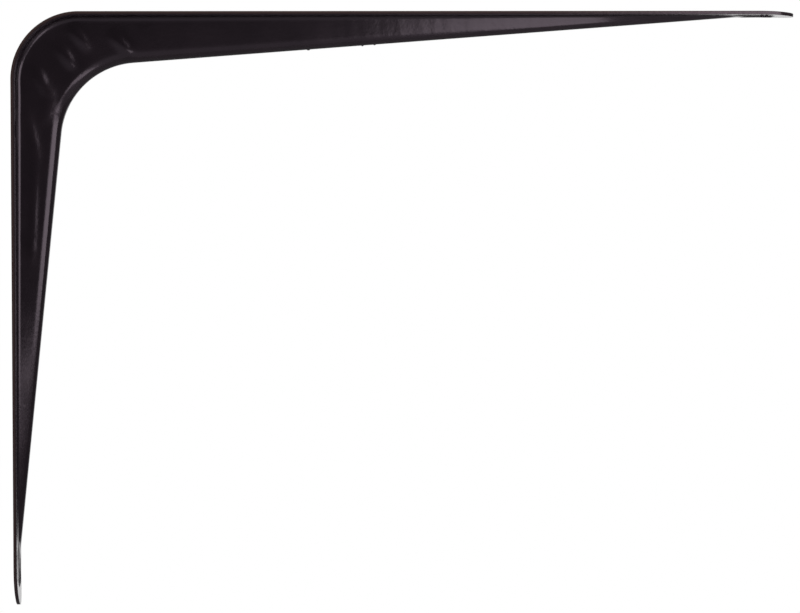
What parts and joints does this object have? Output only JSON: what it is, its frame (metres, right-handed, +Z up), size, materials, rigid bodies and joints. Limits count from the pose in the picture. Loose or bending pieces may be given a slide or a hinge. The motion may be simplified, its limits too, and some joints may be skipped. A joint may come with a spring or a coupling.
{
  "type": "shelf bracket",
  "caption": "L-shaped shelf bracket pressed from one sheet of steel, with a hollow tapering rib along its middle and a flat flange with screw holes, in black enamel.",
  "frame": {"origin": "on the wall plane, midway between the two upper wall screw holes", "axes": "+X away from the wall along the shelf arm, +Y along the wall, +Z up to the shelf; the bracket is symmetric about Y = 0, and the underside of the shelf is at Z = 0.030 m"},
  "size_m": [0.2, 0.028, 0.1515],
  "materials": {
    "black_enamel": "semi-gloss black dipped enamel, a little brown along the sheared edges"
  },
  "bodies": {
    "root": {"shelf_bracket": "black_enamel"}
  },
  "joints": []
}
